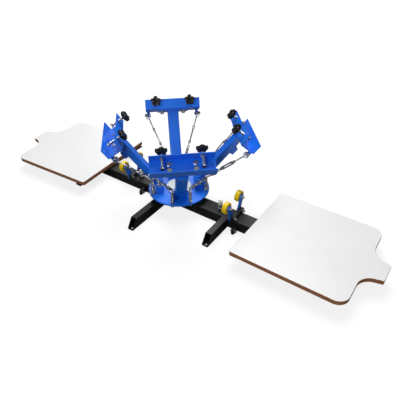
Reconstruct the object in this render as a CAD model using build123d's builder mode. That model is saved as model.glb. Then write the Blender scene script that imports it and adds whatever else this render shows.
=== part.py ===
from build123d import *
import os
from math import atan2, cos, degrees, radians, sin, tan

# Tabletop screen printing press: four screen arms on a turning disc, two pallets on one beam.
# Millimetres. +X runs along the beam to the right pallet, +Z is up. The origin is on the
# table, under the spindle that the carousel turns on.

# ---------------------------------------------------------------- driving dimensions
running_gap = 0.05          # radial clearance of a pin or shaft in its hole
slide_gap = 0.3             # clearance between faces that pass each other
tube_wall = 3.0

beam_width = 70.0
beam_height = 48.0
beam_corner = 4.0
beam_half_length = 600.0
joint_right_x = 322.0       # where the right length is bolted on
joint_left_x = -177.0
ear_reach = 34.0            # how far an ear stands out from the beam's side
ear_height = 27.0
ear_tip_height = 16.0
ear_shoulder = 19.0         # where the ear's top starts to slope down
ear_bolt_out = 20.0         # bolt, from the beam's side
ear_thickness = 6.0

foot_width = 30.0
foot_slant = 30.0           # the bottom wall reaches this much further than the top
center_foot_x = -51.0
center_foot_reach = 282.0
side_foot_x = 265.0
side_foot_reach = 189.0
bench_hole_radius = 4.0
bench_hole_inset = 12.0     # from the tip of the bottom wall

m8_radius, m8_flats, m8_head, m8_nut = 4.0, 13.0, 5.5, 6.5
m10_radius, m10_flats, m10_head, m10_nut = 5.0, 17.0, 6.4, 8.0
m12_radius, m12_flats, m12_head, m12_nut = 6.0, 19.0, 7.5, 9.0
bolt_clearance = 0.25       # radial clearance of a bolt in its hole
bolt_tail = 3.0             # thread that shows past a nut

disc_radius = 136.0
disc_thickness = 8.0
disc_top = 78.0
spindle_radius = 15.0
spindle_thread_radius = 12.0
spindle_flange_radius = 55.0
spindle_flange_thickness = 8.0
spindle_nut_height = 8.0
spindle_nut_flats = 36.0
bearing_radius = 38.0
cap_radius = 55.0
cap_height = 12.0
cap_wall = 2.0

arm_count = 4
arm_azimuth = 131.5         # of the first arm; the others follow a quarter turn apart
arm_raise = {               # angle of each raised arm above level
    "back": 56.0, "left": 56.0, "front": 56.0, "right": 50.0,
}
pivot_radius = 88.0         # from the spindle to the hinge pins
pivot_height = 115.6
arm_width = 50.0
arm_height = 30.0
arm_corner = 5.0
arm_heel = 14.0             # arm behind its pin
hinge_pin_radius = 6.0
cheek_thickness = 5.0
cheek_radius = 16.0
cheek_gap = 0.5
heel_stop_thickness = 5.0
t_plate_thickness = 5.0
t_plate_length = 140.0
t_plate_height = 56.0
tongue_start = 189.0        # along the arm from the pin
tongue_length = 34.0
tongue_width = 40.0
tongue_depth = 19.0

clamp_face = 277.0          # from the pin to the front of the clamp's web
clamp_drop = 7.5            # middle of the clamp, below the arm's centre line
clamp_length = 246.0
clamp_height = 70.0
clamp_depth = 46.0
clamp_wall = 3.0
clamp_bolt_spacing = 98.0
clamp_bolt_rows = (16.0, -9.0)
clamp_end_hole_out = 112.0  # spare holes near the ends of the web
clamp_end_hole_rise = 2.0
clamp_end_hole_radius = 4.5
screw_spacing = 150.0
screw_inset = 28.0          # from the web's front to the screws

link_pin_along = 257.0      # eye pin, from the hinge pin along the arm
link_pin_out = 116.0        # eye pin, from the arm's centre line
link_pin_drop = 18.0        # eye pin, below the middle of the clamp
lug_width = 16.0
lug_thickness = 4.0
lug_standoff = 3.5          # from the lug to the middle of the eye
eye_room = 12.0             # free pin between the lug and the pin's head

post_radial = 117.0         # anchor post, in the frame of its arm
post_out = 38.0
post_top = 147.0            # height of the spring's hook
post_eye_inner = 4.5
post_eye_wire = 2.0
post_neck_height = 2.8
post_neck_taper = 25.0

spring_radius = 6.0
spring_wire = 1.25          # wire radius
coil_length = 46.0
loop_radius = 6.0
hook_eye_inner = 4.0
hook_eye_wire = 1.75
rod_radius = 3.0
rod_past_boss = 12.0        # thread that shows inside the turnbuckle's frame
frame_start = 64.0          # turnbuckle body, from the eye pin towards the post
frame_length = 83.0
frame_boss_length = 12.0
frame_boss_radius = 5.5
frame_bar_width = 4.5
frame_bar_depth = 6.0
frame_half_width = 8.0
frame_roll = {"back": 90.0, "left": 0.0, "front": 0.0, "right": 90.0}
pin_eye_inner = 9.5
pin_eye_wire = 2.0
eye_slack = 0.4             # the eye's play when it hangs on the pin

knob_radius = 24.0
knob_height = 20.0
knob_lobes = 5
knob_hub_radius = 14.5
knob_lobe_radius = 7.5
knob_socket = 14.0
screw_length = 61.0         # from the foot pad's face to the knob's underside
pad_radius = 9.0
pad_height = 9.0
pad_flange_height = 4.0
pad_collar_radius = 6.5
pad_socket_depth = 6.0
screw_tip_radius = 4.0
pad_rest = {                # height of each pad above the middle of its clamp
    "back_left": -6.0, "back_right": -8.0, "left_near": -14.0, "left_far": -4.0,
    "front_left": -16.0, "front_right": -16.0, "right_near": 2.0, "right_far": -10.0,
}

gate_inner_face = 296.0     # face of the gate block that the roller brackets are bolted to
gate_block_thickness = 16.0
gate_block_width = 92.0
gate_block_height = 20.0
roller_radius = 25.0
roller_width = 20.0
roller_groove_outer = 18.0
roller_groove_inner = 9.0
roller_groove_depth = 3.0
roller_spread = 101.0       # between the axles of the two rollers
bracket_bar_thickness = 6.0
bracket_bar_width = 24.0
bracket_foot_spread = 68.0
axle_height = 114.0
axle_radius = 4.0

stop_x = 220.0
stop_stud_radius = 6.0
stop_stud_depth = 9.0       # below the beam's top
stop_cap_radius = 10.0
stop_cap_height = 16.0
stop_wound_down = 9.0       # room left under a level arm

pallet_width = 450.0
pallet_body = 450.0
pallet_thickness = 18.0
pallet_inner_x = {"right": 397.0, "left": 405.0}
pallet_neck = 75.0
neck_root = 126.0
neck_tip = 90.0
neck_fillet = 60.0
neck_tip_radius = 6.0
shoulder_radius = 45.0
inner_corner_radius = 8.0
pallet_swivel = {"right": -0.5, "left": 3.3}
saddle_plate = 4.7
saddle_wall = 4.0
saddle_length = 190.0
saddle_depth = 26.0
crossbar_width = 30.0
crossbar_length = 440.0
crossbar_inset = 2.0
rail_length = 400.0
rail_width = 60.0
pallet_boss_radius = 8.0
pallet_boss_height = 10.0

# ---------------------------------------------------------------- places worked out from them
disc_bottom = disc_top - disc_thickness
bearing_bottom = beam_height + spindle_flange_thickness
cheek_inner = arm_width / 2 + cheek_gap
cheek_outer = cheek_inner + cheek_thickness
web_back = clamp_face - clamp_wall
t_plate_back = web_back - t_plate_thickness
screw_along = clamp_face + screw_inset
lug_top = -lug_standoff - pin_eye_wire / 2
ear_hole_y = beam_width / 2 + ear_bolt_out
pallet_underside = beam_height + slide_gap + saddle_plate
pallet_center = pallet_body / 2

arm_names = ["back", "left", "front", "right"]
arm_sides = {               # which side of each arm a screw is on: +1 is anticlockwise
    "back": {"left": 1, "right": -1}, "left": {"near": 1, "far": -1},
    "front": {"right": 1, "left": -1}, "right": {"far": 1, "near": -1},
}


def turned(number):
    """Location that turns a piece from +X to an arm's own azimuth."""
    return Location((0, 0, 0), (0, 0, arm_azimuth + number * 360 / arm_count))


def arm_plane(name):
    """Plane of one raised arm before it is turned: x along the arm from its pin, z square to it."""
    angle = radians(arm_raise[name])
    return Plane(
        origin=(pivot_radius, 0, pivot_height), x_dir=(cos(angle), 0, sin(angle)),
        z_dir=(-sin(angle), 0, cos(angle)),
    )


def save(name, *pieces):
    """Write one node, a solid or a group of like solids, to its own STEP file."""
    node = pieces[0] if len(pieces) == 1 else Compound(children=list(pieces))
    node.label = name
    export_step(node, f"parts/{name}.step")


os.makedirs("parts", exist_ok=True)


# ---------------------------------------------------------------- fasteners
def hex_prism(flats, height, bore=0.0):
    """A hex head or nut standing on the XY plane."""
    with BuildPart() as prism:
        with BuildSketch():
            RegularPolygon(flats / 2, 6, major_radius=False)
            if bore:
                Circle(bore, mode=Mode.SUBTRACT)
        extrude(amount=height)
        top_edges = prism.faces().sort_by(Axis.Z)[-1].outer_wire().edges()
        chamfer(top_edges, flats * 0.06)
    return prism.part


def hex_bolt(radius, flats, head, shank):
    """A hex bolt with its head on the XY plane, pointing up, and its shank below."""
    with BuildPart() as bolt:
        add(hex_prism(flats, head))
        with BuildSketch():
            Circle(radius)
        extrude(amount=-shank)
    return bolt.part


def bolt_and_nut(radius, flats, head, nut, grip):
    """A bolt through a thickness, with a nut on its far side."""
    bolt = hex_bolt(radius, flats, head, grip + nut + bolt_tail)
    nut_below = hex_prism(flats, nut, radius + running_gap).moved(Location((0, 0, -grip), (180, 0, 0)))
    return [bolt, nut_below]


# ---------------------------------------------------------------- base beam
def beam_length(x_start, x_end, ears):
    """One length of the beam, with a pair of ears at each bolted end."""
    with BuildPart() as tube:
        with BuildSketch(Plane.YZ.offset(x_start)) as section:
            with Locations((0, beam_height / 2)):
                Rectangle(beam_width, beam_height)
            fillet(section.vertices(), beam_corner)
            with Locations((0, beam_height / 2)):
                Rectangle(beam_width - 2 * tube_wall, beam_height - 2 * tube_wall, mode=Mode.SUBTRACT)
        extrude(amount=x_end - x_start)
        for ear_x in ears:
            with BuildSketch(Plane.YZ.offset(ear_x)):
                for side in (1, -1):
                    root = side * (beam_width - tube_wall) / 2
                    tip = side * (beam_width / 2 + ear_reach)
                    shoulder = side * (beam_width / 2 + ear_shoulder)
                    with BuildLine():
                        Polyline(
                            (root, beam_corner), (tip, beam_corner), (tip, ear_tip_height),
                            (shoulder, ear_height), (root, ear_height), close=True,
                        )
                    make_face()
            extrude(amount=ear_thickness)
            with Locations(Plane.YZ.offset(ear_x)):
                with Locations((ear_hole_y, ear_height / 2), (-ear_hole_y, ear_height / 2)):
                    Hole(m8_radius + bolt_clearance)
        for stud_x in (stop_x, -stop_x):
            if x_start < stud_x < x_end:
                with Locations((stud_x, 0, beam_height)):
                    Cylinder(stop_stud_radius + running_gap, 2 * stop_stud_depth, mode=Mode.SUBTRACT)
    return tube.part


left_ears = [joint_left_x - ear_thickness]
center_ears = [joint_left_x, joint_right_x - ear_thickness]
save("beam_center", beam_length(joint_left_x, joint_right_x, center_ears))
save("beam_left", beam_length(-beam_half_length, joint_left_x, left_ears))
save("beam_right", beam_length(joint_right_x, beam_half_length, [joint_right_x]))

joint_hardware = []
for joint_x in (joint_left_x, joint_right_x):
    for side in (1, -1):
        seat = Plane(
            origin=(joint_x + ear_thickness, side * ear_hole_y, ear_height / 2), z_dir=(1, 0, 0)
        )
        for piece in bolt_and_nut(m8_radius, m8_flats, m8_head, m8_nut, 2 * ear_thickness):
            joint_hardware.append(piece.moved(seat.location))
save("beam_bolts", *joint_hardware)


# ---------------------------------------------------------------- cross feet
def cross_foot(foot_x, reach):
    """Foot along +Y from the beam's side, its open end cut on a slant."""
    with BuildPart() as foot:
        with BuildSketch(Plane.YZ.offset(foot_x - foot_width / 2)):
            with BuildLine():
                Polyline(
                    (beam_width / 2, 0), (reach, 0), (reach - foot_slant, beam_height),
                    (beam_width / 2, beam_height), close=True,
                )
            make_face()
        extrude(amount=foot_width)
        long_edges = foot.edges().filter_by(lambda edge: abs(edge.center().X - foot_x) > foot_width / 2 - 0.1)
        fillet([e for e in long_edges if abs(e.tangent_at(0.5).Y) > 0.99], tube_wall)
        with BuildSketch(Plane.YZ.offset(foot_x - foot_width / 2 + tube_wall)):
            with BuildLine():
                Polyline(
                    (beam_width / 2, tube_wall), (reach + 1, tube_wall),
                    (reach + 1, beam_height - tube_wall),
                    (beam_width / 2, beam_height - tube_wall), close=True,
                )
            make_face()
        extrude(amount=foot_width - 2 * tube_wall, mode=Mode.SUBTRACT)
        with Locations((foot_x, reach - bench_hole_inset, 0)):
            Cylinder(
                bench_hole_radius, 3 * tube_wall, mode=Mode.SUBTRACT,
                align=(Align.CENTER, Align.CENTER, Align.CENTER),
            )
    return foot.part


half_turn = Location((0, 0, 0), (0, 0, 180))
save(
    "feet",
    cross_foot(center_foot_x, center_foot_reach),
    cross_foot(-center_foot_x, center_foot_reach).moved(half_turn),
    cross_foot(-side_foot_x, side_foot_reach),
    cross_foot(-side_foot_x, side_foot_reach).moved(half_turn),
)

# ---------------------------------------------------------------- height stops
stop_top = pivot_height - arm_height / 2 - stop_wound_down
cap_bottom = stop_top - stop_cap_height
with BuildPart() as stop_stud:
    with BuildSketch(Plane.XY.offset(beam_height - stop_stud_depth)):
        Circle(stop_stud_radius)
    extrude(amount=stop_top - tube_wall - beam_height + stop_stud_depth)
with BuildPart() as stop_cap:
    with BuildSketch(Plane.XY.offset(cap_bottom)):
        RegularPolygon(stop_cap_radius, 6, major_radius=False)
    extrude(amount=stop_cap_height)
    chamfer(stop_cap.faces().sort_by(Axis.Z)[-1].edges(), 1.5)
    with BuildSketch(Plane.XY.offset(cap_bottom)):
        Circle(stop_stud_radius + running_gap)
    extrude(amount=stop_cap_height - tube_wall, mode=Mode.SUBTRACT)
jam_nut = hex_prism(m12_flats, m12_nut, stop_stud_radius + running_gap).moved(
    Location((0, 0, beam_height))
)
stops = [Location((sign * stop_x, 0, 0)) for sign in (1, -1)]
save("stop_bolts", *[piece.moved(place) for place in stops for piece in (stop_stud.part, jam_nut)])
save("stop_caps", *[stop_cap.part.moved(place) for place in stops])

# ---------------------------------------------------------------- registration gates
axle_y = roller_spread / 2
bar_face = gate_inner_face - bracket_bar_thickness
with BuildPart() as gate_block:
    with BuildSketch(Plane.YZ.offset(gate_inner_face)) as block_face:
        with Locations((0, beam_height + gate_block_height / 2)):
            Rectangle(gate_block_width, gate_block_height)
        fillet(block_face.vertices().group_by(Axis.Z)[-1], 4)
    extrude(amount=gate_block_thickness)
    bar_bolt_height = beam_height + gate_block_height / 2
    with Locations(Plane.YZ.offset(gate_inner_face)):
        for side in (1, -1):
            with Locations((side * bracket_foot_spread / 2, bar_bolt_height)):
                Hole(m8_radius + bolt_clearance)


def bracket_bar(side):
    """Blue bar that leans out from the gate block to one roller's axle."""
    foot_y = side * bracket_foot_spread / 2
    with BuildPart() as bar:
        with BuildSketch(Plane.YZ.offset(bar_face)):
            half = bracket_bar_width / 2
            foot_z = beam_height + slide_gap
            with BuildLine():
                Polyline(
                    (foot_y - half, foot_z), (foot_y + half, foot_z),
                    (foot_y + half, foot_z + gate_block_height), (side * axle_y + half, axle_height),
                    (side * axle_y - half, axle_height), (foot_y - half, foot_z + gate_block_height),
                    close=True,
                )
            make_face()
            with Locations((side * axle_y, axle_height)):
                Circle(half)
            with Locations((side * axle_y, axle_height)):
                Circle(axle_radius + running_gap, mode=Mode.SUBTRACT)
            with Locations((foot_y, bar_bolt_height)):
                Circle(m8_radius + bolt_clearance, mode=Mode.SUBTRACT)
        extrude(amount=bracket_bar_thickness)
    return bar.part


roller_outer_face = bar_face - slide_gap
roller_inner_face = roller_outer_face - roller_width
with BuildPart() as roller:
    with BuildSketch(Plane.YZ.offset(roller_inner_face)):
        Circle(roller_radius)
        Circle(axle_radius + running_gap, mode=Mode.SUBTRACT)
    extrude(amount=roller_width)
    rims = roller.edges().filter_by(GeomType.CIRCLE).group_by(SortBy.RADIUS)[-1]
    fillet(rims, 3.0)
    for face_x, inward in ((roller_inner_face, 1), (roller_outer_face, -1)):
        with BuildSketch(Plane.YZ.offset(face_x)):
            Circle(roller_groove_outer)
            Circle(roller_groove_inner, mode=Mode.SUBTRACT)
        extrude(amount=inward * roller_groove_depth, mode=Mode.SUBTRACT)

axle_grip = roller_width + 2 * slide_gap + bracket_bar_thickness
axle_bolt = bolt_and_nut(axle_radius, m8_flats, m8_head, m8_nut, axle_grip)
bar_bolt = bolt_and_nut(
    m8_radius, m8_flats, m8_head, m8_nut, bracket_bar_thickness + gate_block_thickness
)
roller_x = (roller_inner_face + roller_outer_face) / 2
gate_places = {"right": Location((0, 0, 0)), "left": Location((-2 * roller_x, 0, 0))}
gate_bolts = []
gate_bars = []
for station, gate_place in gate_places.items():
    for side in (1, -1):
        gate_bars.append(bracket_bar(side).moved(gate_place))
        axle_seat = Plane(
            origin=(roller_inner_face - slide_gap, side * axle_y, axle_height), z_dir=(-1, 0, 0)
        )
        bar_seat = Plane(
            origin=(bar_face, side * bracket_foot_spread / 2, bar_bolt_height), z_dir=(-1, 0, 0)
        )
        gate_bolts += [piece.moved(gate_place * axle_seat.location) for piece in axle_bolt]
        gate_bolts += [piece.moved(gate_place * bar_seat.location) for piece in bar_bolt]
        end = "far" if side == 1 else "near"
        axle_place = gate_place * Location((0, side * axle_y, axle_height))
        save(f"roller_{station}_{end}", roller.part.moved(axle_place))
save("gate_blocks", *[gate_block.part.moved(place) for place in gate_places.values()])
save("roller_brackets", *gate_bars)
save("roller_bolts", *gate_bolts)

# ---------------------------------------------------------------- spindle and bearing
shoulder_z = disc_top + slide_gap
spindle_top = shoulder_z + spindle_nut_height + 1.0
with BuildPart() as spindle:
    with BuildSketch(Plane.XY.offset(beam_height)):
        Circle(spindle_flange_radius)
    extrude(amount=spindle_flange_thickness)
    with BuildSketch(Plane.XY.offset(bearing_bottom)):
        Circle(spindle_radius)
    extrude(amount=shoulder_z - bearing_bottom)
    with BuildSketch(Plane.XY.offset(shoulder_z)):
        Circle(spindle_thread_radius)
    extrude(amount=spindle_top - shoulder_z)
spindle_nut = hex_prism(spindle_nut_flats, spindle_nut_height, spindle_thread_radius + running_gap).moved(
    Location((0, 0, shoulder_z))
)
save("hub_spindle", spindle.part, spindle_nut)

with BuildPart() as bearing:
    with BuildSketch(Plane.XY.offset(bearing_bottom)):
        Circle(bearing_radius)
        Circle(spindle_radius + slide_gap, mode=Mode.SUBTRACT)
    extrude(amount=disc_bottom - slide_gap - bearing_bottom)
    race_height = (disc_bottom - slide_gap - bearing_bottom) / 3
    with BuildSketch(Plane.XY.offset(bearing_bottom + race_height)):
        Circle(bearing_radius)
        Circle(bearing_radius - 2, mode=Mode.SUBTRACT)
    extrude(amount=race_height, mode=Mode.SUBTRACT)
save("thrust_bearing", bearing.part)

# ---------------------------------------------------------------- carousel disc
heel_overlap = heel_stop_thickness + 0.5    # heel stop's front, ahead of the raised heel's rear corner


def heel_stop(name):
    """Radius of the back and height of the top of the plate that a raised arm's heel rests on."""
    angle = radians(arm_raise[name])
    corner = arm_plane(name).from_local_coords(Vector(-arm_heel, 0, arm_height / 2))
    heel_fall = heel_overlap / tan(angle)
    return corner.X + heel_overlap - heel_stop_thickness, corner.Z - heel_fall - slide_gap


post_hole_radius = m10_radius + bolt_clearance
with BuildPart() as disc:
    with BuildSketch(Plane.XY.offset(disc_bottom)):
        Circle(disc_radius)
        Circle(spindle_radius + running_gap, mode=Mode.SUBTRACT)
        with PolarLocations(0, arm_count, start_angle=arm_azimuth):
            with Locations((post_radial, post_out), (post_radial, -post_out)):
                Circle(post_hole_radius, mode=Mode.SUBTRACT)
    extrude(amount=disc_thickness)
    rim = disc.edges().filter_by(GeomType.CIRCLE).group_by(SortBy.RADIUS)[-1]
    chamfer(rim, 1.0)
    for number, name in enumerate(arm_names):
        bracket_plane = Plane(turned(number))
        stop_plate_back, stop_plate_top = heel_stop(name)
        for side in (1, -1):
            face = side * cheek_inner if side == 1 else side * cheek_outer
            cheek_plane = Plane(
                origin=bracket_plane.from_local_coords(Vector(pivot_radius, face, pivot_height)),
                x_dir=bracket_plane.x_dir, z_dir=-bracket_plane.y_dir,
            )
            with BuildSketch(cheek_plane):
                with Locations((0, (disc_top - pivot_height) / 2)):
                    Rectangle(2 * cheek_radius, pivot_height - disc_top)
                Circle(cheek_radius)
                back_width = pivot_radius - stop_plate_back
                with Locations((-back_width / 2, (disc_top + stop_plate_top) / 2 - pivot_height)):
                    Rectangle(back_width, stop_plate_top - disc_top)
                Circle(hinge_pin_radius + running_gap, mode=Mode.SUBTRACT)
            extrude(amount=-cheek_thickness)
        stop_plane = Plane(
            origin=bracket_plane.from_local_coords(Vector(stop_plate_back, 0, disc_top)),
            x_dir=bracket_plane.y_dir, z_dir=bracket_plane.x_dir,
        )
        with BuildSketch(stop_plane):
            with Locations((0, (stop_plate_top - disc_top) / 2)):
                Rectangle(2 * cheek_inner, stop_plate_top - disc_top)
        extrude(amount=heel_stop_thickness)
save("carousel_disc", disc.part)

with BuildPart() as cap:
    with BuildSketch(Plane.XY.offset(disc_top)):
        Circle(cap_radius)
    extrude(amount=cap_height)
    fillet(cap.faces().sort_by(Axis.Z)[-1].edges(), 3.0)
    with BuildSketch(Plane.XY.offset(disc_top)):
        Circle(cap_radius - cap_wall)
    extrude(amount=cap_height - cap_wall, mode=Mode.SUBTRACT)
save("hub_cap", cap.part)

# ---------------------------------------------------------------- hinge pins
hinge_bolt = bolt_and_nut(hinge_pin_radius, m12_flats, m12_head, m12_nut, 2 * cheek_outer)
hinge_seat = Plane(origin=(pivot_radius, cheek_outer, pivot_height), z_dir=(0, 1, 0))
save("hinge_pins", *[
    piece.moved(turned(number) * hinge_seat.location)
    for number in range(arm_count) for piece in hinge_bolt
])

# ---------------------------------------------------------------- anchor posts
post_eye_radius = post_eye_inner + post_eye_wire
post_bottom = disc_bottom - m10_nut - bolt_tail
post_shank_top = post_top - post_eye_radius - post_eye_wire
with BuildPart() as post:
    with BuildSketch(Plane.XY.offset(post_bottom)):
        Circle(m10_radius)
    extrude(amount=post_shank_top - post_bottom)
    with BuildSketch(Plane.XY.offset(post_shank_top)):
        Circle(m10_radius)
    extrude(amount=post_neck_height, taper=post_neck_taper)
    with BuildSketch(Plane.XY.offset(post_top)):
        with Locations((post_eye_radius, 0)):
            Circle(post_eye_wire)
    revolve(axis=Axis((0, 0, post_top), (0, 1, 0)), revolution_arc=360)
post_nut_top = hex_prism(m10_flats, m10_nut, m10_radius + running_gap).moved(Location((0, 0, disc_top)))
post_nut_low = hex_prism(m10_flats, m10_nut, m10_radius + running_gap).moved(
    Location((0, 0, disc_bottom), (180, 0, 0))
)
save("anchor_posts", *[
    piece.moved(turned(number) * Location((post_radial, side * post_out, 0)))
    for number in range(arm_count) for side in (1, -1)
    for piece in (post.part, post_nut_top, post_nut_low)
])

# ---------------------------------------------------------------- arms, modelled level from the pin
with BuildPart() as arm_tube:
    with BuildSketch(Plane.YZ.offset(-arm_heel)) as tube_section:
        Rectangle(arm_width, arm_height)
        fillet(tube_section.vertices(), arm_corner)
        Rectangle(arm_width - 2 * tube_wall, arm_height - 2 * tube_wall, mode=Mode.SUBTRACT)
    extrude(amount=t_plate_back + arm_heel)
    with Locations((0, 0, 0)):
        Cylinder(
            hinge_pin_radius + running_gap, 2 * arm_width, rotation=(90, 0, 0), mode=Mode.SUBTRACT
        )

with BuildPart() as t_plate:
    with BuildSketch(Plane.YZ.offset(t_plate_back)) as t_plate_outline:
        Rectangle(t_plate_length, t_plate_height)
        fillet(t_plate_outline.vertices(), 3)
        for row in clamp_bolt_rows:
            with Locations((0, row)):
                with GridLocations(clamp_bolt_spacing, 0, 2, 1):
                    Circle(m10_radius + bolt_clearance, mode=Mode.SUBTRACT)
    extrude(amount=t_plate_thickness)

with BuildPart() as tongue:
    with BuildSketch(Plane.XY.offset(-arm_height / 2)):
        with Locations((tongue_start + tongue_length / 2, 0)):
            Rectangle(tongue_length, tongue_width)
    extrude(amount=-tongue_depth)
    tongue_tip = tongue.faces().sort_by(Axis.Z)[0]
    chamfer(tongue_tip.edges(), 3)

clamp_seat = Location((0, 0, -clamp_drop))
arm = [arm_tube.part, t_plate.part.moved(clamp_seat), tongue.part]

# ---------------------------------------------------------------- screen clamps, modelled about their middle
mouth_face = web_back + clamp_depth
screw_y = screw_spacing / 2
lug_planes = {}
for side in (1, -1):
    lug_planes[side] = Plane(
        origin=(link_pin_along, side * link_pin_out, -link_pin_drop), x_dir=(1, 0, 0),
        z_dir=(0, side, 1),
    )
with BuildPart() as channel:
    with BuildSketch(Plane.XZ.offset(-clamp_length / 2)) as channel_section:
        with BuildLine():
            Polyline(
                (mouth_face, clamp_height / 2), (web_back, clamp_height / 2),
                (web_back, -clamp_height / 2), (mouth_face, -clamp_height / 2),
                (mouth_face, -clamp_height / 2 + clamp_wall),
                (clamp_face, -clamp_height / 2 + clamp_wall),
                (clamp_face, clamp_height / 2 - clamp_wall),
                (mouth_face, clamp_height / 2 - clamp_wall), close=True,
            )
        make_face()
        fillet(channel_section.vertices().group_by(Axis.X)[0], clamp_wall)
    extrude(amount=clamp_length)
    with Locations(Plane.YZ.offset(clamp_face)):
        for row in clamp_bolt_rows:
            with Locations((0, row)):
                with GridLocations(clamp_bolt_spacing, 0, 2, 1):
                    Hole(m10_radius + bolt_clearance, depth=2 * clamp_wall)
        with Locations((0, clamp_end_hole_rise)):
            with GridLocations(2 * clamp_end_hole_out, 0, 2, 1):
                Hole(clamp_end_hole_radius, depth=2 * clamp_wall)
    with Locations((screw_along, screw_y, clamp_height / 2), (screw_along, -screw_y, clamp_height / 2)):
        Cylinder(m10_radius + running_gap, 3 * clamp_wall, mode=Mode.SUBTRACT)
    for side in (1, -1):
        with BuildSketch(lug_planes[side].offset(lug_top - lug_thickness)):
            lug_reach = web_back - link_pin_along
            with Locations(((lug_reach - lug_width / 2) / 2, 0)):
                Rectangle(lug_reach + lug_width / 2, lug_width)
            Circle(m8_radius + running_gap, mode=Mode.SUBTRACT)
        extrude(amount=lug_thickness)

clamp_grip = clamp_wall + t_plate_thickness
clamp_bolt = bolt_and_nut(m10_radius, m10_flats, m10_head, m10_nut, clamp_grip)
eye_bolt_length = eye_room + lug_thickness
eye_bolt = bolt_and_nut(m8_radius, m8_flats, m8_head, m8_nut, eye_bolt_length)
screw_nut = hex_prism(m10_flats, m10_nut * 0.75, m10_radius + running_gap)
arm_fasteners = []
for side in (1, -1):
    for row in clamp_bolt_rows:
        bolt_seat = Plane(origin=(clamp_face, side * clamp_bolt_spacing / 2, row), z_dir=(1, 0, 0))
        arm_fasteners += [piece.moved(bolt_seat.location) for piece in clamp_bolt]
    eye_seat = lug_planes[side].offset(lug_top + eye_room)
    arm_fasteners += [piece.moved(eye_seat.location) for piece in eye_bolt]
    nut_seat = Location((screw_along, side * screw_y, clamp_height / 2 - clamp_wall), (180, 0, 0))
    arm_fasteners.append(screw_nut.moved(nut_seat))

# ---------------------------------------------------------------- clamp screws
with BuildPart() as pad:
    with BuildSketch():
        Circle(pad_radius)
    extrude(amount=pad_flange_height)
    with BuildSketch(Plane.XY.offset(pad_flange_height)):
        Circle(pad_collar_radius)
    extrude(amount=pad_height - pad_flange_height)
    with BuildSketch(Plane.XY.offset(pad_height)):
        Circle(screw_tip_radius + running_gap)
    extrude(amount=-pad_socket_depth, mode=Mode.SUBTRACT)

with BuildPart() as screw:
    with BuildSketch(Plane.XY.offset(pad_height - pad_socket_depth + slide_gap)):
        Circle(screw_tip_radius)
    extrude(amount=pad_socket_depth)
    with BuildSketch(Plane.XY.offset(pad_height + slide_gap)):
        Circle(m10_radius)
    extrude(amount=screw_length + knob_socket - pad_height - slide_gap)

with BuildPart() as knob:
    with BuildSketch(Plane.XY.offset(screw_length)):
        Circle(knob_hub_radius)
        with PolarLocations(knob_radius - knob_lobe_radius, knob_lobes):
            Circle(knob_lobe_radius)
    extrude(amount=knob_height)
    fillet(knob.faces().sort_by(Axis.Z)[-1].edges(), 2.0)
    with BuildSketch(Plane.XY.offset(screw_length)):
        Circle(m10_radius + running_gap)
    extrude(amount=knob_socket + slide_gap, mode=Mode.SUBTRACT)

for number, name in enumerate(arm_names):
    arm_place = turned(number) * arm_plane(name).location
    clamp_place = arm_place * clamp_seat
    save(f"arm_{name}", *[piece.moved(arm_place) for piece in arm])
    save(f"clamp_{name}", channel.part.moved(clamp_place))
    save(f"arm_fasteners_{name}", *[piece.moved(clamp_place) for piece in arm_fasteners])
    for end, side in arm_sides[name].items():
        screw_place = clamp_place * Location((screw_along, side * screw_y, pad_rest[f"{name}_{end}"]))
        save(f"foot_pad_{name}_{end}", pad.part.moved(screw_place))
        save(f"knob_{name}_{end}", knob.part.moved(screw_place), screw.part.moved(screw_place))

# ---------------------------------------------------------------- springs and turnbuckles
pin_eye_radius = pin_eye_inner + pin_eye_wire
hook_eye_radius = hook_eye_inner + hook_eye_wire
coil_start = 2 * loop_radius + spring_wire / 2
coil_end = coil_start + coil_length
spring_end = coil_end + 2 * loop_radius + spring_wire / 2


def ring(center_along, major, wire, profile_plane):
    """A closed wire ring, centred on the link's X axis and square to the profile plane's own Y."""
    with BuildPart() as loop:
        with BuildSketch(profile_plane):
            with Locations((center_along + major, 0)):
                Circle(wire)
        revolve(axis=Axis((center_along, 0, 0), profile_plane.y_dir), revolution_arc=360)
    return loop.part


turns = round(coil_length / (2 * spring_wire))
turn_pitch = coil_length / turns
with BuildPart() as spring:
    with BuildSketch(Plane.XY):
        with BuildLine():
            crest = spring_radius - spring_wire
            Line((coil_start, 0), (coil_start, crest))
            for turn in range(turns):
                left = coil_start + turn * turn_pitch
                ThreePointArc(
                    (left, crest), (left + turn_pitch / 2, spring_radius), (left + turn_pitch, crest)
                )
            Polyline((coil_end, crest), (coil_end, 0), (coil_start, 0))
        make_face()
    revolve(axis=Axis.X, revolution_arc=360)
    add(ring(loop_radius, loop_radius, spring_wire, Plane.XZ))
    add(ring(spring_end - loop_radius, loop_radius, spring_wire, Plane.XZ))


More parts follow.
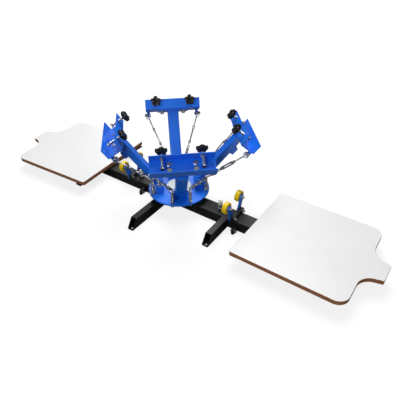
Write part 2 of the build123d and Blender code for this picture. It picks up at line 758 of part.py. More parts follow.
def turnbuckle(pin_distance, eye_tilt, roll):
    """Hook eye, rod, open frame, rod and pin eye, along X from the spring to the clamp's pin."""
    frame_end = pin_distance - frame_start
    frame_begin = frame_end - frame_length
    eye_center = pin_distance - (pin_eye_inner - m8_radius) + eye_slack
    with BuildPart() as frame:
        for boss_start in (frame_begin, frame_end - frame_boss_length):
            with BuildSketch(Plane.YZ.offset(boss_start)):
                Circle(frame_boss_radius)
            extrude(amount=frame_boss_length)
        for side in (1, -1):
            middle = (frame_half_width - frame_bar_width / 2) * side
            with BuildSketch(Plane.YZ.offset(frame_begin)):
                with Locations((middle, 0)):
                    Rectangle(frame_bar_width, frame_bar_depth)
            extrude(amount=frame_length)
        with BuildSketch(Plane.YZ.offset(frame_begin)):
            Circle(rod_radius + running_gap)
        extrude(amount=frame_length, mode=Mode.SUBTRACT)
    with BuildPart() as hook_rod:
        rod_begin = spring_end + hook_eye_radius
        with BuildSketch(Plane.YZ.offset(rod_begin)):
            Circle(rod_radius)
        extrude(amount=frame_begin + frame_boss_length + rod_past_boss - rod_begin)
        add(ring(spring_end, hook_eye_radius, hook_eye_wire, Plane.XY))
    with BuildPart() as eye_rod:
        rod_tip = frame_end - frame_boss_length - rod_past_boss
        with BuildSketch(Plane.YZ.offset(rod_tip)):
            Circle(rod_radius)
        extrude(amount=eye_center - pin_eye_radius + pin_eye_wire / 2 - rod_tip)
        eye = ring(eye_center, pin_eye_radius, pin_eye_wire, Plane.XZ)
        add(eye.moved(Location((0, 0, 0), (eye_tilt, 0, 0))))
    return [frame.part.moved(Location((0, 0, 0), (roll, 0, 0))), hook_rod.part, eye_rod.part]


for number, name in enumerate(arm_names):
    spring_parts = []
    turnbuckle_parts = []
    clamp_plane = Plane(arm_plane(name).location * clamp_seat)
    for side in (1, -1):
        post_point = Vector(post_radial, side * post_out, post_top)
        lug = lug_planes[side]
        pin_point = clamp_plane.from_local_coords(lug.origin)
        pin_axis = clamp_plane.from_local_coords(lug.origin + lug.z_dir) - pin_point
        reach_vector = pin_point - post_point
        direction = reach_vector.normalized()
        sideways = Vector(0, 1, 0) - direction * direction.Y
        link_plane = Plane(origin=post_point, x_dir=direction, z_dir=direction.cross(sideways))
        eye_axis = pin_axis - direction * pin_axis.dot(direction)
        eye_tilt = degrees(atan2(-eye_axis.dot(link_plane.y_dir), eye_axis.dot(link_plane.z_dir)))
        spring_parts.append(spring.part.moved(link_plane.location))
        turnbuckle_parts += [
            piece.moved(link_plane.location)
            for piece in turnbuckle(reach_vector.length, eye_tilt, frame_roll[name])
        ]
    save(f"springs_{name}", *[piece.moved(turned(number)) for piece in spring_parts])
    save(f"turnbuckles_{name}", *[piece.moved(turned(number)) for piece in turnbuckle_parts])

# ---------------------------------------------------------------- pallets, modelled from the inner edge
station_turns = {"right": Location((0, 0, 0)), "left": half_turn}
with BuildPart() as board:
    with BuildSketch(Plane.XY.offset(pallet_underside)) as outline:
        with BuildLine():
            Polyline(
                (0, -pallet_width / 2), (pallet_body, -pallet_width / 2),
                (pallet_body, -neck_root / 2), (pallet_body + pallet_neck, -neck_tip / 2),
                (pallet_body + pallet_neck, neck_tip / 2), (pallet_body, neck_root / 2),
                (pallet_body, pallet_width / 2), (0, pallet_width / 2), close=True,
            )
        make_face()
        corners = outline.vertices()
        fillet([v for v in corners if v.X < 1], inner_corner_radius)
        body_corners = [v for v in outline.vertices() if abs(v.X - pallet_body) < 1]
        fillet([v for v in body_corners if abs(v.Y) < neck_root], neck_fillet)
        body_corners = [v for v in outline.vertices() if abs(abs(v.Y) - pallet_width / 2) < 0.1]
        fillet([v for v in body_corners if v.X > pallet_body - 1], shoulder_radius)
        tip_corners = [v for v in outline.vertices() if v.X > pallet_body + pallet_neck - 0.1]
        fillet(tip_corners, neck_tip_radius)
    extrude(amount=pallet_thickness)
    chamfer(board.faces().sort_by(Axis.Z)[-1].edges(), 0.8)
    with Locations((pallet_center, 0, pallet_underside)):
        Cylinder(
            pallet_boss_radius + running_gap, 2 * (pallet_boss_height + slide_gap), mode=Mode.SUBTRACT
        )

saddle_inner = beam_width / 2 + slide_gap
saddle_outer = saddle_inner + saddle_wall
saddle_bottom = beam_height - saddle_depth
with BuildPart() as bracket:
    plate_base = Plane.XY.offset(pallet_underside - saddle_plate)
    with BuildSketch(plate_base):
        with Locations((crossbar_inset + rail_length / 2, 0)):
            Rectangle(rail_length, 2 * saddle_outer)
        for bar_start in (crossbar_inset, crossbar_inset + rail_length - crossbar_width):
            with Locations((bar_start + crossbar_width / 2, 0)):
                Rectangle(crossbar_width, crossbar_length)
    extrude(amount=saddle_plate)
    with BuildSketch(plate_base):
        with Locations((crossbar_inset + crossbar_width + saddle_length / 2, 0)):
            with GridLocations(0, saddle_inner + saddle_outer, 1, 2):
                Rectangle(saddle_length, saddle_wall)
    extrude(amount=-saddle_depth)
    with BuildSketch(Plane.XY.offset(pallet_underside)):
        with Locations((pallet_center, 0)):
            Circle(pallet_boss_radius)
    extrude(amount=pallet_boss_height)

for station, turn in station_turns.items():
    at_beam = turn * Location((pallet_inner_x[station], 0, 0))
    swivel_center = Location((pallet_center, 0, 0))
    back_to_edge = Location((-pallet_center, 0, 0))
    swivelled = at_beam * swivel_center * Location((0, 0, 0), (0, 0, pallet_swivel[station])) * back_to_edge
    save(f"pallet_{station}", board.part.moved(swivelled))
    save(f"pallet_bracket_{station}", bracket.part.moved(at_beam))
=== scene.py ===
import math

import bmesh
import bpy
from mathutils import Matrix, Vector


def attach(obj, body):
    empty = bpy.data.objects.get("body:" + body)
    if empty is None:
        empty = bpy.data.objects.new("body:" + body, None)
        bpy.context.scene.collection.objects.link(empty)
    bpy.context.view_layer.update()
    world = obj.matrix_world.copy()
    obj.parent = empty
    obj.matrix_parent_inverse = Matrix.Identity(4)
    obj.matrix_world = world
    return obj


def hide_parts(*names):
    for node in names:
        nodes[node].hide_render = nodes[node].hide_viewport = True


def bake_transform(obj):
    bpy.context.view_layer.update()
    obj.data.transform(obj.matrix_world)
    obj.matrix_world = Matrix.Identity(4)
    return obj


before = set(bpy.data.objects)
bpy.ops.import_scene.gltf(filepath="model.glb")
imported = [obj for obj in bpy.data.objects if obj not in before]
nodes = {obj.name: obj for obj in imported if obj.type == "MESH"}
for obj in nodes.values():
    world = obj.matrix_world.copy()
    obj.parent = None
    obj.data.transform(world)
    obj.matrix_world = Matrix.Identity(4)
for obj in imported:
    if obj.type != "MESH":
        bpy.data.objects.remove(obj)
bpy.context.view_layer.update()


# ---------------------------------------------------------------- studio
# A white paper sweep under one wide overhead soft box, with a second box in front to open the
# shadows and a strip behind that draws bright rims along the painted tubes. The camera stands
# above the near right corner of the press, looking down along the diagonal.
def linear(hex_colour):
    """An sRGB hex colour as linear red, green, blue and alpha."""
    channels = [int(hex_colour[i:i + 2], 16) / 255 for i in (1, 3, 5)]
    return [c / 12.92 if c <= 0.04045 else ((c + 0.055) / 1.055) ** 2.4 for c in channels] + [1.0]


def add_node(tree, kind, inputs=(), **settings):
    """Add a shader node. An input given as an output socket is linked, and any other is set."""
    node = tree.nodes.new("ShaderNode" + kind)
    for name, value in settings.items():
        setattr(node, name, value)
    for name, value in dict(inputs).items():
        if isinstance(value, bpy.types.NodeSocket):
            tree.links.new(value, node.inputs[name])
        else:
            node.inputs[name].default_value = value
    return node


def new_material(name):
    """An empty node material and its tree."""
    material = bpy.data.materials.new(name)
    material.use_nodes = True
    material.node_tree.nodes.clear()
    return material, material.node_tree


camera_data = bpy.data.cameras.new("studio_camera")
camera_data.lens = 37.99
camera_data.sensor_width = 36.0
camera = bpy.data.objects.new("studio_camera", camera_data)
camera.location = (0.9521, -1.2328, 1.1801)
camera.rotation_euler = (math.radians(52.9), 0, math.radians(34.2))
bpy.context.scene.collection.objects.link(camera)
bpy.context.scene.camera = camera
bpy.context.scene.view_settings.view_transform = "Standard"

world = bpy.data.worlds.new("studio_air")
world.use_nodes = True
world.node_tree.nodes.clear()
ray = add_node(world.node_tree, "LightPath")
level = add_node(world.node_tree, "MapRange", {
    "Value": ray.outputs["Is Camera Ray"], "To Min": 0.15, "To Max": 1.0,
})
sky = add_node(world.node_tree, "Background", {
    "Color": linear("#FFFFFF"), "Strength": level.outputs["Result"],
})
add_node(world.node_tree, "OutputWorld", {"Surface": sky.outputs[0]})
bpy.context.scene.world = world

# The paper is seen brighter than it lights the object, so that it stays white with soft shadows.
# It has a light of its own behind the press, where the lamps no longer reach.
sweep_material, tree = new_material("white_paper_sweep")
ray = add_node(tree, "LightPath")
paper = add_node(tree, "BsdfDiffuse", {"Color": linear("#6A6A6A")})
paper_seen = add_node(tree, "BsdfDiffuse", {"Color": linear("#8A8A8B")})
middle = add_node(tree, "VectorMath", {
    0: add_node(tree, "TexCoord").outputs["Object"],
}, operation="LENGTH")
backlight = add_node(tree, "MapRange", {
    "Value": middle.outputs["Value"], "From Min": 0.8, "From Max": 3.0,
    "To Min": 0.80, "To Max": 1.0,
})
glow = add_node(tree, "Emission", {
    "Color": linear("#FFFFFF"), "Strength": backlight.outputs["Result"],
})
lifted = add_node(tree, "AddShader", {0: paper_seen.outputs[0], 1: glow.outputs[0]})
chosen = add_node(tree, "MixShader", {
    0: ray.outputs["Is Camera Ray"], 1: paper.outputs[0], 2: lifted.outputs[0],
})
add_node(tree, "OutputMaterial", {"Surface": chosen.outputs[0]})
bpy.ops.mesh.primitive_plane_add(size=24.0)
sweep = bpy.context.object
sweep.name = "paper_sweep"
sweep.data.materials.append(sweep_material)

for name, size, place, aim, power in (
    ("overhead_box", 2.4, (-0.4, 1.0, 2.6), (0, 0, 0.1), 72.0),
    ("front_box", 1.2, (0.9, -3.0, 1.9), (0, 0, 0.2), 42.0),
    ("rim_strip", 1.4, (-1.8, 2.0, 1.6), (0, 0, 0.3), 6.0),
):
    lamp_data = bpy.data.lights.new(name, "AREA")
    lamp_data.shape = "DISK"
    lamp_data.size = size
    lamp_data.energy = power
    lamp = bpy.data.objects.new(name, lamp_data)
    lamp.location = place
    lamp.rotation_euler = (Vector(aim) - Vector(place)).to_track_quat("-Z", "Y").to_euler()
    bpy.context.scene.collection.objects.link(lamp)


# ---------------------------------------------------------------- base beam and cross feet
# Box tube of mild steel, 70 by 48 mm, in three lengths bolted end to end, with four feet of 30 mm
# tube cut on a slant. All are sprayed with black polyester powder and baked, which leaves a
# semi-gloss skin with a fine orange peel and no brush marks.
powder_coat, tree = new_material("black_powder_coat")
place = add_node(tree, "TexCoord")
# Orange peel is about 1 mm across; it is drawn at 2.5 mm so that it breaks up the highlights.
peel = add_node(tree, "TexNoise", {
    "Vector": place.outputs["Object"], "Scale": 1 / 0.0025, "Detail": 2.0, "Roughness": 0.5,
})
patches = add_node(tree, "TexNoise", {
    "Vector": place.outputs["Object"], "Scale": 1 / 0.09, "Detail": 3.0, "Roughness": 0.6,
})
shade = add_node(tree, "ValToRGB", {"Fac": patches.outputs["Fac"]})
shade.color_ramp.elements[0].position = 0.35
shade.color_ramp.elements[0].color = linear("#0E0E0F")
shade.color_ramp.elements[1].position = 0.68
shade.color_ramp.elements[1].color = linear("#161617")
gloss = add_node(tree, "MapRange", {
    "Value": patches.outputs["Fac"], "To Min": 0.36, "To Max": 0.50,
})
relief = add_node(tree, "Bump", {
    "Height": peel.outputs["Fac"], "Strength": 0.15, "Distance": 0.0004,
})
coat = add_node(tree, "BsdfPrincipled", {
    "Base Color": shade.outputs["Color"], "Roughness": gloss.outputs["Result"],
    "Normal": relief.outputs["Normal"], "IOR": 1.5,
})
add_node(tree, "OutputMaterial", {"Surface": coat.outputs[0]})


def finish_nodes(material, *names):
    """Give CAD nodes their finish."""
    for name in names:
        for material_slot in nodes[name].material_slots:
            material_slot.material = material


finish_nodes(powder_coat, "beam_left", "beam_center", "beam_right", "feet")


# ---------------------------------------------------------------- bolts of the base
# Steel hex bolts and nuts with bright zinc plate, a thin electroplated skin that is silvery with
# a cool, slightly cloudy sheen. They are turned up tight by hand.
zinc_plate, tree = new_material("bright_zinc_plate")
place = add_node(tree, "TexCoord")
cloud = add_node(tree, "TexNoise", {
    "Vector": place.outputs["Object"], "Scale": 1 / 0.006, "Detail": 4.0, "Roughness": 0.6,
})
tint = add_node(tree, "ValToRGB", {"Fac": cloud.outputs["Fac"]})
tint.color_ramp.elements[0].position = 0.3
tint.color_ramp.elements[0].color = linear("#B4B8BE")
tint.color_ramp.elements[1].position = 0.7
tint.color_ramp.elements[1].color = linear("#DCDCD8")
sheen = add_node(tree, "MapRange", {
    "Value": cloud.outputs["Fac"], "To Min": 0.2, "To Max": 0.36,
})
plate = add_node(tree, "BsdfPrincipled", {
    "Base Color": tint.outputs["Color"], "Metallic": 1.0, "Roughness": sheen.outputs["Result"],
})
add_node(tree, "OutputMaterial", {"Surface": plate.outputs[0]})
finish_nodes(zinc_plate, "beam_bolts")


def pick(kind, test):
    """In edit mode, select the faces, edges or verts whose middle passes a test, and no others."""
    bpy.ops.mesh.select_mode(type={"verts": "VERT", "edges": "EDGE", "faces": "FACE"}[kind])
    bpy.ops.mesh.select_all(action="DESELECT")
    mesh = bmesh.from_edit_mesh(bpy.context.object.data)
    for element in getattr(mesh, kind):
        corners = [element] if kind == "verts" else element.verts
        middle = sum((corner.co for corner in corners), Vector()) / len(corners)
        if test(middle):
            element.select_set(True)
    bmesh.update_edit_mesh(bpy.context.object.data)


def start_piece(kind, **settings):
    """Add a primitive with nothing else selected, with its place in its mesh, and edit it."""
    bpy.ops.object.select_all(action="DESELECT")
    getattr(bpy.ops.mesh, f"primitive_{kind}_add")(**settings)
    bpy.ops.object.transform_apply(location=True, rotation=True, scale=True)
    bpy.ops.object.mode_set(mode="EDIT")
    return bpy.context.object


def end_piece(name, material, smooth_angle=35):
    """Leave edit mode, with the normals outwards, round faces smooth and the finish on."""
    bpy.ops.object.mode_set(mode="EDIT")
    bpy.ops.mesh.select_all(action="SELECT")
    bpy.ops.mesh.normals_make_consistent(inside=False)
    bpy.ops.object.mode_set(mode="OBJECT")
    piece = bpy.context.object
    piece.name = name
    bpy.ops.object.shade_smooth_by_angle(angle=math.radians(smooth_angle))
    piece.data.materials.clear()
    piece.data.materials.append(material)
    return piece


def apply_modifier(kind, **settings):
    """Add a modifier to the active piece and apply it."""
    bpy.ops.object.mode_set(mode="OBJECT")
    piece = bpy.context.object
    modifier = piece.modifiers.new(kind.lower(), kind)
    for setting, value in settings.items():
        setattr(modifier, setting, value)
    bpy.ops.object.modifier_apply(modifier=modifier.name)


def join_pieces(name, *pieces):
    """Join pieces into the first one."""
    bpy.ops.object.select_all(action="DESELECT")
    for piece in pieces:
        piece.select_set(True)
    bpy.context.view_layer.objects.active = pieces[0]
    if len(pieces) > 1:
        bpy.ops.object.join()
    pieces[0].name = name
    return pieces[0]


def copy_piece(pattern, name, *places):
    """One piece made of copies of a pattern, one for each place."""
    copies = []
    for place in places:
        piece = pattern.copy()
        piece.data = pattern.data.copy()
        piece.data.transform(place)
        bpy.context.scene.collection.objects.link(piece)
        copies.append(piece)
    return join_pieces(name, *copies)


def discard(*patterns):
    """Delete patterns that were only copied from."""
    for pattern in patterns:
        bpy.data.objects.remove(pattern, do_unlink=True)


def ride(piece, body):
    """Let a piece move with a body."""
    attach(piece, body)


def move(x, y, z):
    """A shift in metres."""
    return Matrix.Translation((x, y, z))


def facing(direction):
    """A turn that takes +X to a direction."""
    return Vector(direction).to_track_quat("X", "Z").to_matrix().to_4x4()


def washer(outer, inner, thickness):
    """A flat washer standing on the YZ plane, on the +X side."""
    start_piece("cylinder", vertices=32, radius=outer, depth=thickness,
                location=(thickness / 2, 0, 0), rotation=(0, math.pi / 2, 0))
    rim = outer - 0.0001
    pick("faces", lambda middle: middle.yz.length < rim / 2)
    bpy.ops.mesh.bevel(offset=thickness * 0.2, segments=1)
    pick("faces", lambda middle: middle.yz.length < rim / 2)
    bpy.ops.mesh.inset(thickness=outer - inner - thickness * 0.2, use_individual=True)
    pick("faces", lambda middle: middle.yz.length < inner / 8)
    bpy.ops.mesh.bridge_edge_loops()
    return end_piece("washer", zinc_plate)


# Each joint of the beam has a 6 mm ear on either side of the cut, and a bolt at each end of them.
joint_places = (-0.177, 0.322)
ear_thickness = 0.006
ear_bolt_out, ear_bolt_height = 0.055, 0.0135
small_washer = washer(0.0085, 0.0043, 0.0016)
places = []
for joint_x in joint_places:
    for y in (ear_bolt_out, -ear_bolt_out):
        places += [
            move(joint_x + ear_thickness, y, ear_bolt_height),
            move(joint_x - ear_thickness, y, ear_bolt_height) @ facing((-1, 0, 0)),
        ]
ear_washers = copy_piece(small_washer, "ear_washers", *places)
ride(ear_washers, "base")


# ---------------------------------------------------------------- weld beads of the base
# Fillet welds laid by hand with a wire gun, each bead a row of overlapping ripples about 2 mm
# apart. They are ground off nowhere and are coated over with the steel they join.
def weld_bead(length, material, radius=0.0022, ripple=0.0022):
    """A straight bead along X, centred on the origin."""
    start_piece("circle", vertices=8, radius=radius * 0.8, fill_type="NGON",
                location=(-length / 2, 0, 0), rotation=(0, math.pi / 2, 0))
    steps = round(length / ripple)
    for step in range(steps):
        for share, size in ((0.5, 1.25), (0.5, 0.8)):
            bpy.ops.mesh.select_mode(type="FACE")
            bpy.ops.mesh.extrude_region_move(
                TRANSFORM_OT_translate={"value": (share * length / steps, 0, 0)})
            bpy.ops.transform.resize(value=(1, size, size), center_override=(0, 0, 0))
    return end_piece("weld_bead", material, 80)


# A bead runs up both edges of each foot, and one lies along the block of each gate.
feet_and_sides = ((-0.051, (1, -1)), (0.265, (-1,)), (-0.265, (1,)))
foot_edge = 0.0155
beam_side, beam_middle, beam_top = 0.0355, 0.024, 0.0486
block_sides = (0.3128, -0.2466)
side_bead = weld_bead(0.040, powder_coat)
places = []
for foot_x, sides in feet_and_sides:
    for side in sides:
        places += [move(foot_x + edge, side * beam_side, beam_middle) @ facing((0, 0, 1))
                   for edge in (foot_edge, -foot_edge)]
block_bead = weld_bead(0.062, powder_coat)
base_welds = join_pieces(
    "base_welds",
    copy_piece(side_bead, "foot_welds", *places),
    copy_piece(block_bead, "block_welds",
               *[move(x, 0, beam_top) @ facing((0, 1, 0)) for x in block_sides]),
)
discard(side_bead, block_bead)
ride(base_welds, "base")


# ---------------------------------------------------------------- height stops
# A zinc-plated stud and jam nut under each printing place, with a moulded nylon cap that the arm
# comes down on. The nylon is natural, an off-white with a waxy surface.
nylon, tree = new_material("natural_nylon")
place = add_node(tree, "TexCoord")
bloom = add_node(tree, "TexNoise", {
    "Vector": place.outputs["Object"], "Scale": 1 / 0.004, "Detail": 3.0, "Roughness": 0.6,
})
tint = add_node(tree, "ValToRGB", {"Fac": bloom.outputs["Fac"]})
tint.color_ramp.elements[0].color = linear("#C9CBBB")
tint.color_ramp.elements[1].color = linear("#E0E1D6")
wax = add_node(tree, "BsdfPrincipled", {
    "Base Color": tint.outputs["Color"], "Roughness": 0.42, "IOR": 1.53,
    "Subsurface Weight": 0.15, "Subsurface Scale": 0.004,
})
add_node(tree, "OutputMaterial", {"Surface": wax.outputs[0]})
finish_nodes(nylon, "stop_caps")
finish_nodes(zinc_plate, "stop_bolts")


# ---------------------------------------------------------------- registration gates
# At each printing place two blue bars carry a pair of guide rollers, 50 mm across and 20 mm wide,
# that centre the lowered arm. The rollers are moulded in yellow polyamide with a sunk web, and
# turn on plain bolts.
# The polyamide is a full yellow, a little cloudy, with the shine of a polished mould.
yellow_plastic, tree = new_material("yellow_polyamide")
place = add_node(tree, "TexCoord")
mottle = add_node(tree, "TexNoise", {
    "Vector": place.outputs["Object"], "Scale": 1 / 0.012, "Detail": 3.0, "Roughness": 0.55,
})
tint = add_node(tree, "ValToRGB", {"Fac": mottle.outputs["Fac"]})
tint.color_ramp.elements[0].position = 0.3
tint.color_ramp.elements[0].color = linear("#FFCE00")
tint.color_ramp.elements[1].position = 0.65
tint.color_ramp.elements[1].color = linear("#FFE004")
# Fine scuffs from the arms run round the tread; they are drawn 1 mm apart.
scuffs = add_node(tree, "TexNoise", {
    "Vector": place.outputs["Object"], "Scale": 1 / 0.001, "Detail": 1.0, "Roughness": 0.5,
})
relief = add_node(tree, "Bump", {
    "Height": scuffs.outputs["Fac"], "Strength": 0.1, "Distance": 0.0002,
})
moulded = add_node(tree, "BsdfPrincipled", {
    "Base Color": tint.outputs["Color"], "Roughness": 0.3, "IOR": 1.53,
    "Normal": relief.outputs["Normal"], "Subsurface Weight": 0.2, "Subsurface Scale": 0.003,
})
add_node(tree, "OutputMaterial", {"Surface": moulded.outputs[0]})

roller_radius = 0.025
roller_width = 0.020
axle_height = 0.114
axle_out = 0.0505
roller_middle = 0.2797
rim_round, rim_width = 0.0025, 0.0035
web_sink, web_width = 0.0035, 0.0095
hub_rise, hub_wall = 0.003, 0.0054
start_piece("cylinder", vertices=64, radius=roller_radius, depth=roller_width,
            rotation=(0, math.pi / 2, 0))
caps = lambda middle: middle.yz.length < 0.001
pick("faces", caps)
bpy.ops.mesh.bevel(offset=rim_round, segments=4)
pick("faces", caps)
bpy.ops.mesh.inset(thickness=rim_width, use_individual=True)
for side in (1, -1):
    pick("faces", lambda middle: middle.yz.length < 0.001 and middle.x * side > 0)
    bpy.ops.mesh.extrude_region_move(TRANSFORM_OT_translate={"value": (-side * web_sink, 0, 0)})
    bpy.ops.mesh.inset(thickness=web_width, use_individual=True)
    bpy.ops.mesh.extrude_region_move(TRANSFORM_OT_translate={"value": (side * hub_rise, 0, 0)})
    bpy.ops.mesh.inset(thickness=hub_wall, use_individual=True)
pick("faces", caps)
bpy.ops.mesh.bridge_edge_loops()
apply_modifier("BEVEL", width=0.0006, segments=2, limit_method="ANGLE", angle_limit=math.radians(50))
bpy.ops.object.mode_set(mode="EDIT")
roller = end_piece("roller_pattern", yellow_plastic, 40)
for station, sign in (("right", 1), ("left", -1)):
    for end, side in (("near", -1), ("far", 1)):
        wheel = copy_piece(roller, f"guide_roller_{station}_{end}",
                           move(sign * roller_middle, side * axle_out, axle_height))
        ride(wheel, f"roller_{station}_{end}")
        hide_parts(f"roller_{station}_{end}")
discard(roller)

finish_nodes(powder_coat, "gate_blocks")
finish_nodes(zinc_plate, "roller_bolts")
roller_face, bracket_front, bracket_back, block_back = 0.2694, 0.2900, 0.2960, 0.3120
block_bolt_out, block_bolt_height = 0.034, 0.058
places = []
for shift in (0, -2 * roller_middle):
    for side in (1, -1):
        places += [
            move(bracket_back + shift, side * axle_out, axle_height),
            move(roller_face + shift, side * axle_out, axle_height) @ facing((-1, 0, 0)),
            move(bracket_front + shift, side * block_bolt_out, block_bolt_height)
            @ facing((-1, 0, 0)),
            move(block_back + shift, side * block_bolt_out, block_bolt_height),
        ]
gate_washers = copy_piece(small_washer, "gate_washers", *places)
ride(gate_washers, "base")


# ---------------------------------------------------------------- carousel disc
# A 272 mm disc of 8 mm plate with four pairs of hinge cheeks welded to it. It is pickled, primed
# and sprayed with blue enamel that is stoved to a hard gloss: even and deep, with a surface that
# waves a little where the spray ran together.
blue_enamel, tree = new_material("blue_stoved_enamel")
place = add_node(tree, "TexCoord")
# The enamel's waves are 2 to 4 mm across.
waves = add_node(tree, "TexNoise", {
    "Vector": place.outputs["Object"], "Scale": 1 / 0.004, "Detail": 1.5, "Roughness": 0.5,
})
drift = add_node(tree, "TexNoise", {
    "Vector": place.outputs["Object"], "Scale": 1 / 0.12, "Detail": 2.0, "Roughness": 0.5,
})
shade = add_node(tree, "ValToRGB", {"Fac": drift.outputs["Fac"]})
shade.color_ramp.elements[0].position = 0.3
shade.color_ramp.elements[0].color = linear("#0E6CE6")
shade.color_ramp.elements[1].position = 0.7
shade.color_ramp.elements[1].color = linear("#147AF6")
relief = add_node(tree, "Bump", {
    "Height": waves.outputs["Fac"], "Strength": 0.08, "Distance": 0.0005,
})
enamel = add_node(tree, "BsdfPrincipled", {
    "Base Color": shade.outputs["Color"], "Roughness": 0.34, "IOR": 1.5,
    "Normal": relief.outputs["Normal"], "Coat Weight": 0.5, "Coat Roughness": 0.12,
})
add_node(tree, "OutputMaterial", {"Surface": enamel.outputs[0]})
finish_nodes(blue_enamel, "roller_brackets", "carousel_disc")
finish_nodes(zinc_plate, "hub_spindle", "thrust_bearing")

arm_names = ("back", "left", "front", "right")
first_azimuth = math.radians(131.5)


def hub_frame(name):
    """The carousel's frame, turned so that X points along an arm."""
    return Matrix.Rotation(first_azimuth + arm_names.index(name) * math.pi / 2, 4, "Z")


cheek_out, cheek_middle = 0.0305, 0.0858
disc_top = 0.078
bead_lift = 0.0006
cheek_bead = weld_bead(0.034, blue_enamel)
carousel_welds = copy_piece(cheek_bead, "carousel_welds", *[
    hub_frame(name) @ move(cheek_middle, side * (cheek_out + bead_lift), disc_top + bead_lift)
    for name in arm_names for side in (1, -1)
])
discard(cheek_bead)
ride(carousel_welds, "carousel")


# ---------------------------------------------------------------- hub cap
# A moulded polyethylene cap that keeps ink and water out of the bearing. It is pale cream, with a
# rolled edge, a raised ring and the small dimple of its moulding gate.
cream_plastic, tree = new_material("cream_polyethylene")
place = add_node(tree, "TexCoord")
grain = add_node(tree, "TexNoise", {
    "Vector": place.outputs["Object"], "Scale": 1 / 0.02, "Detail": 4.0, "Roughness": 0.6,
})
tint = add_node(tree, "ValToRGB", {"Fac": grain.outputs["Fac"]})
tint.color_ramp.elements[0].color = linear("#CCDACE")
tint.color_ramp.elements[1].color = linear("#DCE6DC")
shell = add_node(tree, "BsdfPrincipled", {
    "Base Color": tint.outputs["Color"], "Roughness": 0.5, "IOR": 1.51,
})
add_node(tree, "OutputMaterial", {"Surface": shell.outputs[0]})
cap_height = 0.012
start_piece("cylinder", vertices=96, radius=0.055, depth=cap_height,
            location=(0, 0, disc_top + cap_height / 2))
cap_top = lambda middle: middle.z > disc_top + cap_height * 0.7 and middle.xy.length < 0.001
pick("faces", cap_top)
bpy.ops.mesh.bevel(offset=0.003, segments=4)
# A raised ring stands inside the rolled edge, and the mould's gate is sunk in the middle.
for ring_width, rise in ((0.010, 0.0008), (0.004, -0.0008), (0.030, -0.0006)):
    pick("faces", cap_top)
    bpy.ops.mesh.inset(thickness=ring_width)
    bpy.ops.mesh.extrude_region_move(TRANSFORM_OT_translate={"value": (0, 0, rise)})
cap = end_piece("moulded_hub_cap", cream_plastic, 30)
ride(cap, "carousel")
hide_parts("hub_cap")


# ---------------------------------------------------------------- hinge pins
# A zinc-plated bolt and nut through each pair of cheeks, with wide washers against the paint.
# The arm turns on the bolt's plain shank, and the nut is left just loose enough for that.
finish_nodes(zinc_plate, "hinge_pins")
wide_washer = washer(0.0125, 0.0063, 0.002)
hinge_radius, hinge_height = 0.088, 0.1156
hinge_washers = copy_piece(wide_washer, "hinge_washers", *[
    hub_frame(name) @ move(hinge_radius, side * cheek_out, hinge_height) @ facing((0, side, 0))
    for name in arm_names for side in (1, -1)
])
discard(wide_washer)
ride(hinge_washers, "carousel")


# ---------------------------------------------------------------- upright eyebolts
# Eight eyebolts stand through the disc, each held by a nut above and below, and take the pull of
# the springs. The shank is rolled with a coarse thread, the eye is bent and closed, and a coil of
# heavy wire packs the shank between the nut and the eye.
def threaded_rod(radius, pitch, start, end):
    """A rod along X with a screw thread, closed at both ends."""
    depth = pitch * 0.45
    turns = round((end - start) / pitch)
    start_piece("plane", size=pitch, location=(start + pitch / 2, 0, 0))
    pick("verts", lambda middle: middle.y < 0)
    bpy.ops.mesh.delete(type="VERT")
    bpy.ops.mesh.select_all(action="SELECT")
    bpy.ops.mesh.subdivide(number_cuts=1)
    bpy.ops.mesh.select_all(action="SELECT")
    bpy.ops.transform.translate(value=(0, radius - depth - pitch / 2, 0))
    pick("verts", lambda middle: abs(middle.x - start - pitch / 2) < pitch / 8)
    bpy.ops.transform.translate(value=(0, depth, 0))
    apply_modifier("SCREW", axis="X", angle=math.tau, screw_offset=pitch, iterations=turns - 1,
                   steps=14, render_steps=14)
    bpy.ops.object.mode_set(mode="EDIT")
    bpy.ops.mesh.select_all(action="SELECT")
    bpy.ops.mesh.remove_doubles(threshold=pitch / 50)
    bpy.ops.mesh.fill_holes(sides=0)
    return end_piece("threaded_rod", zinc_plate, 80)


def wire_eye(middle_x, inner_radius, wire_radius, axis_tilt):
    """An eye of round wire on the X axis; its hole runs along Z, tilted about X."""
    start_piece("torus", major_radius=inner_radius + wire_radius, minor_radius=wire_radius,
                major_segments=40, minor_segments=10, location=(middle_x, 0, 0),
                rotation=(axis_tilt, 0, 0))
    pick("verts", lambda middle: middle.x > middle_x + inner_radius * 0.9)
    bpy.ops.transform.translate(value=(wire_radius * 0.3, 0, 0))
    return end_piece("eye", zinc_plate, 60)


def hex_nut(flats, height):
    """A hexagon nut standing on the YZ plane, on the +X side, with chamfered corners."""
    start_piece("cylinder", vertices=6, radius=flats / math.sqrt(3), depth=height,
                location=(height / 2, 0, 0), rotation=(0, math.pi / 2, 0))
    pick("faces", lambda middle: middle.yz.length < 0.0001)
    bpy.ops.mesh.bevel(offset=flats * 0.05, segments=2)
    return end_piece("hex_nut", zinc_plate, 30)


